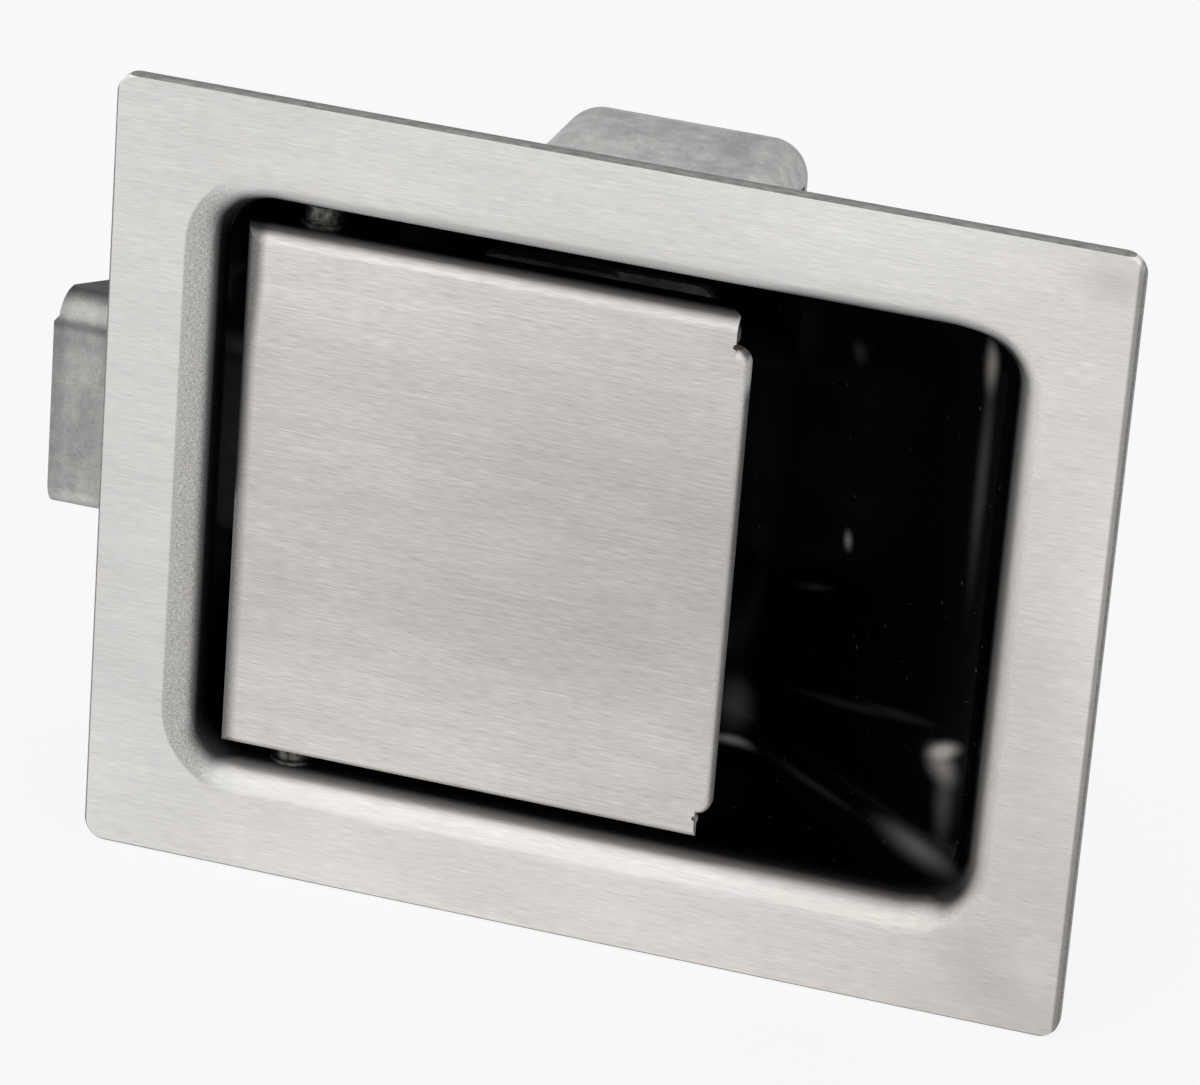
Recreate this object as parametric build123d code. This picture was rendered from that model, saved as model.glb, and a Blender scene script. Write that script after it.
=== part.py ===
from build123d import *
from math import cos, radians, sin, sqrt
import os

# Flush paddle latch with a spring-loaded slam bolt.
# Frame: millimetres, +Z up, +Y into the door, +X towards the finger pocket.
# The pieces are modelled from the flange's back face, y = 0, and are saved from the door
# skin, which the gasket's back face lies on. The origin is the centre of that face.
# The bolt points along -X. The paddle turns about a vertical pin near the bolt side.

# ---------------------------------------------------------------- driving dimensions
# flange and sheet
sheet = 1.5                      # drawn and folded stainless sheet
flange_width = 139.7
flange_height = 114.3
flange_corner_r = 3.0
flange_edge_break = 0.35         # softened front edge
border_long = 15.65              # flange edge to the recess, above and below

# recess of the pan, measured inside
recess_left = 54.5               # from the centre to the left wall
recess_right = 55.6              # from the centre to the mouth of the leaning right wall
floor_behind_bar = 5.83          # throw bar's centre to the recess floor, at rest
recess_side_r = 7.0              # radius along the floor and down the four corners
recess_profile_r = 7.2           # radius across the left foot and the top of the ramp
draw_r = 5.0                     # front radius where the flange turns into the recess
ramp_start_x = 15.0              # the flat floor ends here
ramp_end_x = 54.0
ramp_end_y = 4.6
ramp_foot_r = 10.0

# paddle
paddle_sheet = 2.0
paddle_side_gap = 3.0            # paddle to recess wall, above and below
paddle_left_x = -51.0
paddle_right_x = 17.2            # plate edge above and below the grip edge
paddle_bend_r = 2.2              # outside radius of the folds
paddle_hem_depth = 4.0           # left fold, from the face
paddle_ear_depth = 5.0           # upper and lower folds, from the face
paddle_ear_end_x = 14.0
paddle_ear_end_depth = 1.2       # the folds' right ends slope back from here
ear_corner_gap = 0.2             # left fold to the start of the upper and lower folds
grip_reach = 1.9                 # grip edge past the plate edge
grip_top_notch = 4.6             # plate corner to the grip edge, above
grip_bottom_notch = 3.8
grip_corner_r = 2.2
grip_edge_r = 1.2                # rounding of the grip edge's front
relief_r = 0.4                   # bend relief at both ends of the grip edge

# pivot
pivot_x = -42.0
pivot_y = 4.9
pivot_pin_d = 4.0
pivot_clip_d = 8.0
pivot_clip_cut = 1.1             # the clip's open side is cut off this far from its centre
clip_thickness = 0.6
clip_seat = 0.45                 # groove depth
clip_mouth = 0.85                # mouth width as a share of the groove's diameter
pin_tail = 0.8                   # shaft end beyond its clip
spacer_d = 5.4
pivot_washer_d = 6.4
pivot_washer_thickness = 0.5

# paddle arms and throw bar
arm_length = 23.5                # pivot to throw bar
arm_lean_deg = 8.0               # the bar sits this far to the left of straight back
arm_boss_r = 6.2
arm_tip_r = 3.5
throw_bar_d = 5.0
throw_bar_stub_d = 3.5
throw_clip_d = 6.0
throw_clip_cut = 1.4
throw_clip_turn_deg = -90.0      # the clips' mouths face the tip of the bolt
paddle_swing_deg = 34.0

# slam bolt
bolt_sheet = 2.0
bolt_front_y = 14.5
bolt_half_height = 16.25
bolt_bend_r = 4.0                # outside radius of the two folds
bolt_reach = 13.35               # how far the tip stands out past the flange
bolt_fold_setback = 0.6          # the upper fold starts this far behind the tip
bevel_start_y = 18.9
bolt_end_x = -16.0
notch_end_room = 0.5             # throw bar to the notch's left end, at full pull
notch_front_room = 0.6
notch_corner_r = 1.2
end_tab_setback = 2.0            # the tab ends this far in front of the legs' backs
end_tab_half_height = 13.0
stop_wing_height = 6.2
stop_wing_sheet = 1.8
stop_wing_front_y = 17.0
stop_wing_depth = 7.5
stop_wing_corner_r = 1.5
bumper_thickness = 2.1
bumper_height = 5.6
bumper_gap = 0.9                 # bolt leg to bumper
bumper_edge_r = 0.5

# bolt guides and springs
guide_plate_sheet = 1.2
guide_plate_left_x = -28.0
guide_plate_half_height = 27.0
guide_plate_corner_r = 2.5
abutment_x = 8.0                 # right face of the bent-up end
abutment_top_y = 16.0
abutment_half_height = 15.0
abutment_corner_r = 3.0
abutment_bend_r = 1.8
abutment_tongue = 3.0            # the narrow end starts this far from the right face
bridge_sheet = 1.5
bridge_left_x = -27.5
bridge_right_x = -7.5
bridge_bend_r = 2.5
bridge_corner_r = 2.0
bridge_root_r = 1.0
rivet_d = 4.0
rivet_head_d = 7.0
rivet_head_height = 1.6
rivet_inset = 4.0                # rivet centre to the bridge's end
guide_rod_d = 4.5
guide_rod_y = 24.5
guide_rod_z = 8.0
guide_rod_left_x = -27.0
guide_rod_chamfer = 0.6
guide_rod_head_d = 7.5
guide_rod_head = 1.2
dome = 0.7                       # rounding of a riveted head as a share of its height
bolt_spring_d = 8.0
bolt_spring_wire = 0.9
bolt_spring_turns = 7
torsion_wire = 1.2
torsion_coil_r = 3.4             # centre line of the wire
torsion_turns = 9.25
torsion_pitch = 1.35
torsion_start_deg = -86.0        # lays the short leg flat behind the plate
torsion_short_leg = 6.0          # presses the plate outwards, left of the pin
torsion_long_leg = 14.0          # lies on the front of the guide bridge
torsion_bend_r = 1.8

# clamp bracket, its stud and hardware
clamp_sheet = 2.0
clamp_centre_x = -1.7
clamp_width = 34.0               # across the back; the sides spread towards the front
clamp_spread = 0.045             # sideways per millimetre of depth
clamp_past_recess = 7.0          # recess wall to the bracket's outer face, above and below
clamp_depth = 6.5                # pan back to the bracket's outer face
clamp_edge_r = 5.5
clamp_foot_y = 5.0
clamp_foot_reach = 6.0
clamp_foot_width = 25.0
clamp_foot_corner_r = 3.0
clamp_heel_r = 1.8
clamp_flange_start_y = 12.0
stud_d = 6.0
stud_chamfer = 0.8
stud_base_d = 9.0
stud_base = 1.0
stud_end = 2.4                   # stud beyond the nut
stud_hole_d = 7.0
flat_washer_d = 13.0
flat_washer_thickness = 1.5
washer_chamfer = 0.2
lock_washer_d = 10.5
lock_washer_thickness = 1.6
lock_washer_gap = 1.2
lock_washer_slit_deg = 25.0
nut_across_flats = 10.0
nut_height = 5.0
nut_chamfer = 0.85

# gasket
gasket_thickness = 1.5
gasket_setback = 1.5

# clearances
running = 0.05                   # radial, pin in hole
loose = 0.3                      # between sliding or swinging sheet parts
rest_gap = 0.2                   # throw bar to bolt, bolt to bumpers
end_play = 0.1

# construction
past = 1.0                       # how far a cutting shape runs past what it cuts
near = 0.01                      # how close an edge has to be to count as lying on a plane

# ---------------------------------------------------------------- derived places
flange_left_x = -flange_width / 2
recess_half_height = flange_height / 2 - border_long
pan_wall_z = recess_half_height + sheet
pan_left_wall_x = -recess_left
flange_back_fillet_r = draw_r - sheet
paddle_half_height = recess_half_height - paddle_side_gap
paddle_face_y = -sheet           # flush with the flange's front
ear_inner_z = paddle_half_height - paddle_sheet
grip_top_z = paddle_half_height - grip_top_notch
grip_bottom_z = grip_bottom_notch - paddle_half_height
bar_x = pivot_x - arm_length * sin(radians(arm_lean_deg))
bar_y = pivot_y + arm_length * cos(radians(arm_lean_deg))
bar_front_y = pivot_y + arm_length * cos(radians(paddle_swing_deg - arm_lean_deg))
recess_floor_y = bar_y + floor_behind_bar
pan_back_y = recess_floor_y + sheet
guide_front_y = recess_floor_y - guide_plate_sheet
bolt_tip_x = flange_left_x - bolt_reach
bolt_back_y = guide_front_y - loose
bolt_travel = arm_length * radians(paddle_swing_deg)
abutment_inner_x = abutment_x - guide_plate_sheet
clamp_half_height = recess_half_height + clamp_past_recess
clamp_back_y = pan_back_y + clamp_depth
lock_washer_y = clamp_back_y + flat_washer_thickness
nut_y = lock_washer_y + lock_washer_thickness

os.makedirs("parts", exist_ok=True)


# ---------------------------------------------------------------- helpers
def place_y(shape, x, y, z):
    """Turn a shape built along +Z so that it runs along +Y, then move it."""
    return Pos(x, y, z) * Rot(-90, 0, 0) * shape


def place_x(shape, x, y, z):
    """Turn a shape built along +Z so that it runs along +X, then move it."""
    return Pos(x, y, z) * Rot(0, 90, 0) * shape


def rod_z(radius, z0, z1, x, y):
    """Round bar along Z between two heights, given in either order."""
    return Pos(x, y, (z0 + z1) / 2) * Cylinder(radius, abs(z1 - z0))


def rod_y(radius, y0, y1, x, z):
    """Round bar along Y between two depths, given in either order."""
    return place_y(Cylinder(radius, abs(y1 - y0)), x, (y0 + y1) / 2, z)


def rod_x(radius, x0, x1, y, z):
    """Round bar along X between two ends, given in either order."""
    return place_x(Cylinder(radius, abs(x1 - x0)), (x0 + x1) / 2, y, z)


def ring_z(outer_d, bore_r, z0, z1, x, y):
    """Flat ring or sleeve along Z."""
    return rod_z(outer_d / 2, z0, z1, x, y) - rod_z(bore_r, z0 - past, z1 + past, x, y)


def ring_y(outer_d, bore_r, y0, y1, x, z):
    """Flat ring along Y."""
    return rod_y(outer_d / 2, y0, y1, x, z) - rod_y(bore_r, y0 - past, y1 + past, x, z)


def block(x0, x1, y0, y1, z0, z1):
    """Box between two corners, given in either order."""
    centre = Pos((x0 + x1) / 2, (y0 + y1) / 2, (z0 + z1) / 2)
    return centre * Box(abs(x1 - x0), abs(y1 - y0), abs(z1 - z0))


def plan_prism(face, z0, z1):
    """Extrude a face drawn in the XY plane between two heights, given in either order."""
    return Pos(0, 0, min(z0, z1)) * extrude(face, amount=abs(z1 - z0), dir=(0, 0, 1))


def at_x(edge, x):
    """True for an edge whose middle lies at a place along X."""
    return abs(edge.center().X - x) < near


def at_y(edge, y):
    """True for an edge whose middle lies at a depth."""
    return abs(edge.center().Y - y) < near


def at_z(edge, z):
    """True for an edge whose middle lies at a height, above or below the centre."""
    return abs(abs(edge.center().Z) - z) < near


def save(shape, node):
    """Write one node from the door skin: one solid, or a group of separate solids."""
    pieces = shape if isinstance(shape, list) else [shape]
    solids = [Pos(0, -gasket_thickness, 0) * piece.solid() for piece in pieces]
    made = Compound(children=solids) if len(solids) > 1 else solids[0]
    made.label = node
    export_step(made, f"parts/{node}.step")


# ---------------------------------------------------------------- pan
def recess_body(grow):
    """Space inside the recess, grown by a wall thickness where wanted."""
    mouth_y = -sheet
    outline = Polyline(
        (-recess_left, mouth_y),
        (-recess_left, recess_floor_y),
        (ramp_start_x, recess_floor_y),
        (ramp_end_x, ramp_end_y),
        (recess_right, mouth_y),
        close=True,
    )
    profile = make_face(outline)
    if grow:
        profile = offset(profile, amount=grow, kind=Kind.INTERSECTION)
    deep = [v for v in profile.vertices().sort_by(Axis.X) if v.Y > mouth_y + near]
    left_foot, _, ramp_top = deep
    profile = fillet([left_foot, ramp_top], recess_profile_r + grow)
    foot = Vector(ramp_start_x, recess_floor_y)
    ramp_foot = profile.vertices().sort_by_distance(foot)[0]
    profile = fillet(ramp_foot, ramp_foot_r + grow)
    half = recess_half_height + grow
    body = plan_prism(profile, -half, half)
    sides = [e for e in body.edges() if at_z(e, half) and e.center().Y > mouth_y - grow + near]
    return fillet(sides, recess_side_r + grow)


def inside_recess_rim(edge, margin):
    """True for an edge of the recess mouth, false for one of the flange's outline."""
    centre = edge.center()
    half_x = (flange_width / 2 + recess_left + margin) / 2
    half_z = (flange_height / 2 + recess_half_height + margin) / 2
    return abs(centre.X) < half_x and abs(centre.Z) < half_z


def bolt_window():
    """Cut in the pan's left wall that the bolt slides through."""
    window = block(
        pan_left_wall_x - sheet - past,
        pan_left_wall_x + recess_profile_r + past,
        bolt_front_y - loose,
        bolt_back_y + loose,
        -bolt_half_height - loose,
        bolt_half_height + loose,
    )
    front = [e for e in window.edges().filter_by(Axis.X) if e.center().Y < bolt_front_y]
    return fillet(front, bolt_bend_r)


def rivet_places():
    """Centres of the four guide rivets on the pan's floor."""
    z = (bolt_half_height + loose + bridge_sheet + guide_plate_half_height) / 2
    xs = (bridge_left_x + rivet_inset, bridge_right_x - rivet_inset)
    return [(x, side * z) for x in xs for side in (-1, 1)]


def make_pan():
    """Flange and drawn recess in one sheet, with the holes for pin, bolt and rivets."""
    half_x = flange_width / 2
    half_z = flange_height / 2
    flange = block(-half_x, half_x, -sheet, 0, -half_z, half_z)
    flange = fillet(flange.edges().filter_by(Axis.Y), flange_corner_r)
    behind_front = block(-half_x, half_x, -sheet, pan_back_y + past, -half_z, half_z)
    pan = flange + (recess_body(sheet) & behind_front)
    back_rim = [e for e in pan.edges() if at_y(e, 0) and inside_recess_rim(e, sheet)]
    pan = fillet(back_rim, flange_back_fillet_r)
    pan = pan - recess_body(0)
    front_rim = [e for e in pan.edges() if at_y(e, -sheet) and inside_recess_rim(e, 0)]
    pan = fillet(front_rim, draw_r)
    outline = [e for e in pan.edges() if at_y(e, -sheet) and not inside_recess_rim(e, draw_r)]
    pan = chamfer(outline, flange_edge_break)
    pan -= bolt_window()
    pin_hole_r = pivot_pin_d / 2 + running
    for side in (-1, 1):
        inner_z = side * (recess_half_height - past)
        pan -= rod_z(pin_hole_r, inner_z, side * (pan_wall_z + past), pivot_x, pivot_y)
    for x, z in rivet_places():
        pan -= rod_y(rivet_d / 2 + running, recess_floor_y - past, pan_back_y + past, x, z)
    return pan


# ---------------------------------------------------------------- paddle
def paddle_shell():
    """Plate with its left edge and both long edges bent back, before it is trimmed."""
    half = paddle_half_height
    front = paddle_face_y
    back = bar_y + arm_tip_r + past
    outer = block(paddle_left_x, paddle_right_x, front, back, -half, half)
    front_edges = [e for e in outer.edges() if at_y(e, front) and not at_x(e, paddle_right_x)]
    outer = fillet(front_edges, paddle_bend_r)
    inner_front = front + paddle_sheet
    inner_left = paddle_left_x + paddle_sheet
    inner_right = paddle_right_x + past
    inner = block(inner_left, inner_right, inner_front, back + past, -ear_inner_z, ear_inner_z)
    folds = [e for e in inner.edges().filter_by(Axis.X) if at_y(e, inner_front)]
    return outer - fillet(folds, paddle_bend_r - paddle_sheet)


def ear_outline():
    """Side view of one bent-back edge with its arm, in the XY plane."""
    left = paddle_left_x + paddle_sheet + ear_corner_gap
    front = paddle_face_y
    strip = make_face(
        Polyline(
            (left, front),
            (left, front + paddle_ear_depth),
            (paddle_ear_end_x, front + paddle_ear_depth),
            (paddle_right_x, front + paddle_ear_end_depth),
            (paddle_right_x, front),
            close=True,
        )
    )
    boss = Pos(pivot_x, pivot_y) * Circle(arm_boss_r)
    tip = Pos(bar_x, bar_y) * Circle(arm_tip_r)
    return strip + make_hull(boss.edges() + tip.edges())


def grip_edge():
    """Right edge of the plate that the fingers pull, with its front rounded."""
    front = paddle_face_y
    left = paddle_right_x - grip_reach
    right = paddle_right_x + grip_reach
    edge = block(left, right, front, front + paddle_sheet, grip_bottom_z, grip_top_z)
    edge = fillet([e for e in edge.edges().filter_by(Axis.Y) if at_x(e, right)], grip_corner_r)
    rim = [e for e in edge.edges() if at_y(e, front) and e.center().X > right - grip_corner_r]
    return fillet(rim, grip_edge_r)


def make_paddle():
    """Folded plate, its two arms, the grip edge and the holes for pin and bar."""
    shell = paddle_shell()
    half = paddle_half_height
    front = paddle_face_y
    hem_y = front + paddle_hem_depth
    fold_z = half - paddle_bend_r
    left = paddle_left_x
    plate = shell & block(left, paddle_right_x, front, hem_y, -fold_z, fold_z)
    between_folds = block(left, paddle_right_x, front, bar_y + arm_length, -fold_z, fold_z)
    folds = shell & (plan_prism(ear_outline(), -half, half) - between_folds)
    corners = shell & block(left, left + paddle_bend_r, front, hem_y, -half, half)
    paddle = plate + folds + corners + grip_edge()
    for notch_z in (grip_bottom_z - relief_r, grip_top_z + relief_r):
        paddle -= rod_y(relief_r, front - past, front + paddle_sheet + past, paddle_right_x, notch_z)
    for side in (-1, 1):
        ear_in = side * (ear_inner_z - past)
        ear_out = side * (half + past)
        paddle -= rod_z(pivot_pin_d / 2 + running, ear_in, ear_out, pivot_x, pivot_y)
        paddle -= rod_z(throw_bar_stub_d / 2 + running, ear_in, ear_out, bar_x, bar_y)
    return paddle


# ---------------------------------------------------------------- clips, pin and throw bar
def open_clip(outer_d, shaft_d, cut, z0, x, y, turn):
    """Open retaining ring in a shaft's groove; its mouth faces -Y before the turn."""
    bore_r = shaft_d / 2 - clip_seat + running / 2
    tall = clip_thickness + 2 * past
    ring = Cylinder(outer_d / 2, clip_thickness) - Cylinder(bore_r, tall)
    ring -= Pos(0, -outer_d / 2 - cut, 0) * Box(outer_d * 2, outer_d, tall)
    ring -= Pos(0, -outer_d / 2, 0) * Box(bore_r * 2 * clip_mouth, outer_d, tall)
    return Pos(x, y, z0 + clip_thickness / 2) * Rot(0, 0, turn) * ring


def clip_groove(shaft_d, z0, x, y):
    """Ring of metal missing from a shaft under a clip."""
    core = Cylinder(shaft_d / 2 - clip_seat, clip_thickness + 2 * past)
    ring = Cylinder(shaft_d, clip_thickness + end_play) - core
    return Pos(x, y, z0 + clip_thickness / 2) * ring


def clip_seats(face_z):
    """Lower faces of the two clips outside a pair of faces at plus and minus a height."""
    gap = end_play / 2
    return (face_z + gap, -face_z - gap - clip_thickness)


def make_throw_bar():
    """Round bar with a thinner grooved stub through each arm."""
    shoulder = ear_inner_z - end_play
    end = paddle_half_height + end_play + clip_thickness + pin_tail
    bar = rod_z(throw_bar_d / 2, -shoulder, shoulder, bar_x, bar_y)
    bar += rod_z(throw_bar_stub_d / 2, -end, end, bar_x, bar_y)
    for z0 in clip_seats(paddle_half_height):
        bar -= clip_groove(throw_bar_stub_d, z0, bar_x, bar_y)
    return bar


def make_throw_bar_clips():
    """Two clips outside the paddle's arms."""
    return [
        open_clip(
            throw_clip_d, throw_bar_stub_d, throw_clip_cut, z0, bar_x, bar_y, throw_clip_turn_deg
        )
        for z0 in clip_seats(paddle_half_height)
    ]


def make_pivot_pin():
    """Long pin through both pan walls, grooved outside each wall."""
    end = pan_wall_z + end_play + clip_thickness + pin_tail
    pin = rod_z(pivot_pin_d / 2, -end, end, pivot_x, pivot_y)
    pin = chamfer(pin.edges().filter_by(GeomType.CIRCLE), pin_tail / 2)
    for z0 in clip_seats(pan_wall_z):
        pin -= clip_groove(pivot_pin_d, z0, pivot_x, pivot_y)
    return pin


def make_pivot_clips():
    """Two clips whose mouths face the flange, clear of the flange's back radius."""
    return [
        open_clip(pivot_clip_d, pivot_pin_d, pivot_clip_cut, z0, pivot_x, pivot_y, 0)
        for z0 in clip_seats(pan_wall_z)
    ]


def pivot_stack(base_z):
    """Washer standing on a face, and the sleeve that fills the gap above it."""
    bore = pivot_pin_d / 2 + running
    washer_top = base_z + pivot_washer_thickness
    sleeve_top = base_z + paddle_side_gap - end_play
    washer = ring_z(pivot_washer_d, bore, base_z, washer_top, pivot_x, pivot_y)
    sleeve = ring_z(spacer_d, bore, washer_top, sleeve_top, pivot_x, pivot_y)
    return washer, sleeve


# ---------------------------------------------------------------- slam bolt
def tip_cut(setback):
    """What is cut off a leg at the tip: its fold's setback, then the 45 degree bevel."""
    back = bolt_back_y + past
    setback_x = bolt_tip_x + setback
    bevel_x = setback_x + setback
    return make_face(
        Polyline(
            (bolt_tip_x - past, bolt_front_y - past),
            (setback_x, bolt_front_y - past),
            (bevel_x, bevel_start_y),
            (bevel_x + back - bevel_start_y, back),
            (bolt_tip_x - past, back),
            close=True,
        )
    )


def throw_notch():
    """Notch in both legs that the throw bar works in; its right end is what the bar pulls."""
    bar_r = throw_bar_d / 2
    notch = block(
        bar_x - bar_r - bolt_travel - notch_end_room,
        bar_x + bar_r + rest_gap,
        bar_front_y - bar_r - notch_front_room,
        bolt_back_y + past,
        -bolt_half_height - past,
        bolt_half_height + past,
    )
    front = [e for e in notch.edges().filter_by(Axis.Z) if e.center().Y < bar_y]
    return fillet(front, notch_corner_r)


def end_tab():
    """Web end folded towards the floor, which the springs push on."""
    inner_x = bolt_end_x - bolt_sheet
    y0 = bolt_front_y + bolt_sheet / 2
    half = end_tab_half_height
    tab = block(inner_x, bolt_end_x, y0, bolt_back_y - end_tab_setback, -half, half)
    hole_r = guide_rod_d / 2 + loose
    for side in (-1, 1):
        tab -= rod_x(hole_r, inner_x - past, bolt_end_x + past, guide_rod_y, side * guide_rod_z)
    return tab


def stop_wing(side):
    """Small wing on a leg that stops the bolt against the pan's left wall."""
    x0 = pan_left_wall_x + bumper_thickness + rest_gap
    root_z = side * (bolt_half_height - bolt_sheet / 2)
    tip_z = side * (bolt_half_height + stop_wing_height)
    y0 = stop_wing_front_y
    wing = block(x0, x0 + stop_wing_sheet, y0, y0 + stop_wing_depth, root_z, tip_z)
    tip = [e for e in wing.edges().filter_by(Axis.X) if abs(e.center().Z) > bolt_half_height]
    return fillet(tip, stop_wing_corner_r)


def make_slam_bolt():
    """Folded channel with a bevelled tip, a spring tab and two stop wings."""
    front = bolt_front_y
    half = bolt_half_height
    channel = block(bolt_tip_x, bolt_end_x, front, bolt_back_y, -half, half)
    channel = fillet([e for e in channel.edges().filter_by(Axis.X) if at_y(e, front)], bolt_bend_r)
    inner_front = front + bolt_sheet
    inner_half = half - bolt_sheet
    inner_left = bolt_tip_x - past
    inner_right = bolt_end_x + past
    hollow = block(inner_left, inner_right, inner_front, bolt_back_y + past, -inner_half, inner_half)
    folds = [e for e in hollow.edges().filter_by(Axis.X) if at_y(e, inner_front)]
    bolt = channel - fillet(folds, bolt_bend_r - bolt_sheet)
    bolt -= plan_prism(tip_cut(bolt_fold_setback), half - bolt_bend_r, half + past)
    bolt -= plan_prism(tip_cut(0), bolt_bend_r - half, -half - past)
    bolt -= throw_notch()
    bolt += end_tab()
    for side in (-1, 1):
        bolt += stop_wing(side)
    return bolt


def make_stop_bumpers():
    """Two rubber pads on the left wall, above and below the window."""
    pads = []
    x0 = pan_left_wall_x
    x1 = x0 + bumper_thickness
    y0 = stop_wing_front_y
    for side in (-1, 1):
        z0 = side * (bolt_half_height + bumper_gap)
        z1 = z0 + side * bumper_height
        pad = block(x0, x1, y0, y0 + stop_wing_depth, z0, z1)
        pads.append(fillet([e for e in pad.edges() if at_x(e, x1)], bumper_edge_r))
    return pads


# ---------------------------------------------------------------- bolt guides and springs
def make_guide_plate():
    """Plate on the pan's floor; its right end is bent up and carries the guide rods."""
    half = guide_plate_half_height
    front = guide_front_y
    back = recess_floor_y
    base = block(guide_plate_left_x, abutment_x - abutment_tongue, front, back, -half, half)
    base = fillet(base.edges().filter_by(Axis.Y), guide_plate_corner_r)
    middle_x = (guide_plate_left_x + abutment_x) / 2
    wide = abutment_half_height
    tongue = block(middle_x, abutment_x, front, back, -wide, wide)
    wall = block(abutment_inner_x, abutment_x, abutment_top_y, back, -wide, wide)
    wall = fillet([e for e in wall.edges().filter_by(Axis.X) if at_y(e, abutment_top_y)], abutment_corner_r)
    plate = base + (tongue + wall)
    bend = [e for e in plate.edges().filter_by(Axis.Z) if at_x(e, abutment_x) and at_y(e, back)]
    plate = fillet(bend, abutment_bend_r)
    rod_hole_r = guide_rod_d / 2 + running
    for side in (-1, 1):
        z = side * guide_rod_z
        plate -= rod_x(rod_hole_r, abutment_inner_x - past, abutment_x + past, guide_rod_y, z)
    for x, z in rivet_places():
        plate -= rod_y(rivet_d / 2 + running, front - past, back + past, x, z)
    return plate


def make_guide_bridge():
    """Hat-shaped strap over the bolt, its feet on the guide plate."""
    x0 = bridge_left_x
    x1 = bridge_right_x
    inner_half = bolt_half_height + loose
    outer_half = inner_half + bridge_sheet
    top_inner_y = bolt_front_y - loose
    top_outer_y = top_inner_y - bridge_sheet
    foot_y = guide_front_y - bridge_sheet
    half = guide_plate_half_height
    hat = block(x0, x1, top_outer_y, guide_front_y, -outer_half, outer_half)
    hat = fillet([e for e in hat.edges().filter_by(Axis.X) if at_y(e, top_outer_y)], bridge_bend_r)
    feet = block(x0, x1, foot_y, guide_front_y, -half, half)
    feet = fillet(feet.edges().filter_by(Axis.Y), bridge_corner_r)
    tunnel = block(x0 - past, x1 + past, top_inner_y, guide_front_y + past, -inner_half, inner_half)
    folds = [e for e in tunnel.edges().filter_by(Axis.X) if at_y(e, top_inner_y)]
    tunnel = fillet(folds, bridge_bend_r - bridge_sheet)
    bridge = hat + feet
    roots = [
        e for e in bridge.edges().filter_by(Axis.X) if at_y(e, foot_y) and at_z(e, outer_half)
    ]
    bridge = fillet(roots, bridge_root_r) - tunnel
    for x, z in rivet_places():
        bridge -= rod_y(rivet_d / 2 + running, foot_y - past, guide_front_y + past, x, z)
    return bridge


def make_guide_rivets():
    """Four rivets through the bridge's feet, the guide plate and the floor."""
    rivets = []
    foot_y = guide_front_y - bridge_sheet
    inner_y = foot_y - rivet_head_height
    outer_y = pan_back_y + rivet_head_height
    for x, z in rivet_places():
        shank = rod_y(rivet_d / 2, (inner_y + foot_y) / 2, (pan_back_y + outer_y) / 2, x, z)
        head_in = rod_y(rivet_head_d / 2, inner_y, foot_y, x, z)
        head_in = fillet(head_in.edges().sort_by(Axis.Y)[0], rivet_head_height * dome)
        head_out = rod_y(rivet_head_d / 2, pan_back_y, outer_y, x, z)
        head_out = fillet(head_out.edges().sort_by(Axis.Y)[-1], rivet_head_height * dome)
        rivets.append(head_in + shank + head_out)
    return rivets


def make_guide_rod(side):
    """Rod through the abutment and the bolt's end tab, riveted over at its right end."""
    z = side * guide_rod_z
    rod = rod_x(guide_rod_d / 2, guide_rod_left_x, abutment_x + guide_rod_head / 2, guide_rod_y, z)
    rod = chamfer(rod.edges().sort_by(Axis.X)[0], guide_rod_chamfer)
    head = rod_x(guide_rod_head_d / 2, abutment_x, abutment_x + guide_rod_head, guide_rod_y, z)
    return rod + fillet(head.edges().sort_by(Axis.X)[-1], guide_rod_head * dome)


def make_bolt_spring(side):
    """Open coil spring between the bolt's end tab and the abutment."""
    wire_r = bolt_spring_wire / 2
    length = abutment_inner_x - bolt_end_x - bolt_spring_wire - end_play
    pitch = length / bolt_spring_turns
    path = Helix(pitch=pitch, height=length, radius=bolt_spring_d / 2 - wire_r)
    start = Plane(origin=path @ 0, z_dir=path % 0)
    wire = sweep(start * Circle(wire_r), path)
    return place_x(wire, bolt_end_x + wire_r + end_play / 2, guide_rod_y, side * guide_rod_z)


def make_torsion_spring():
    """Spring on the pivot pin: short leg behind the plate, long leg on the guide bridge."""
    height = torsion_pitch * torsion_turns
    coil = Helix(pitch=torsion_pitch, height=height, radius=torsion_coil_r)
    coil = Pos(pivot_x, pivot_y, -height / 2) * Rot(0, 0, torsion_start_deg) * coil
    start = coil @ 0
    end = coil @ 1
    out = coil % 1
    short_leg = Line(start - (coil % 0) * torsion_short_leg, start)
    leg_y = bolt_front_y - loose - bridge_sheet - torsion_wire / 2 - running
    knee = end + out * (leg_y - end.Y - torsion_bend_r)
    bend_end = knee + (out + Vector(1, 0, 0)) * torsion_bend_r
    bend = TangentArc(knee, bend_end, tangent=out)
    long_leg = Line(bend_end, bend_end + (bend % 1) * torsion_long_leg)
    run = Line(end, knee)
    path = Wire([short_leg.edge(), coil.edge(), run.edge(), bend.edge(), long_leg.edge()])
    section = Plane(origin=path @ 0, z_dir=path % 0) * Circle(torsion_wire / 2)
    return sweep(section, path)


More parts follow.
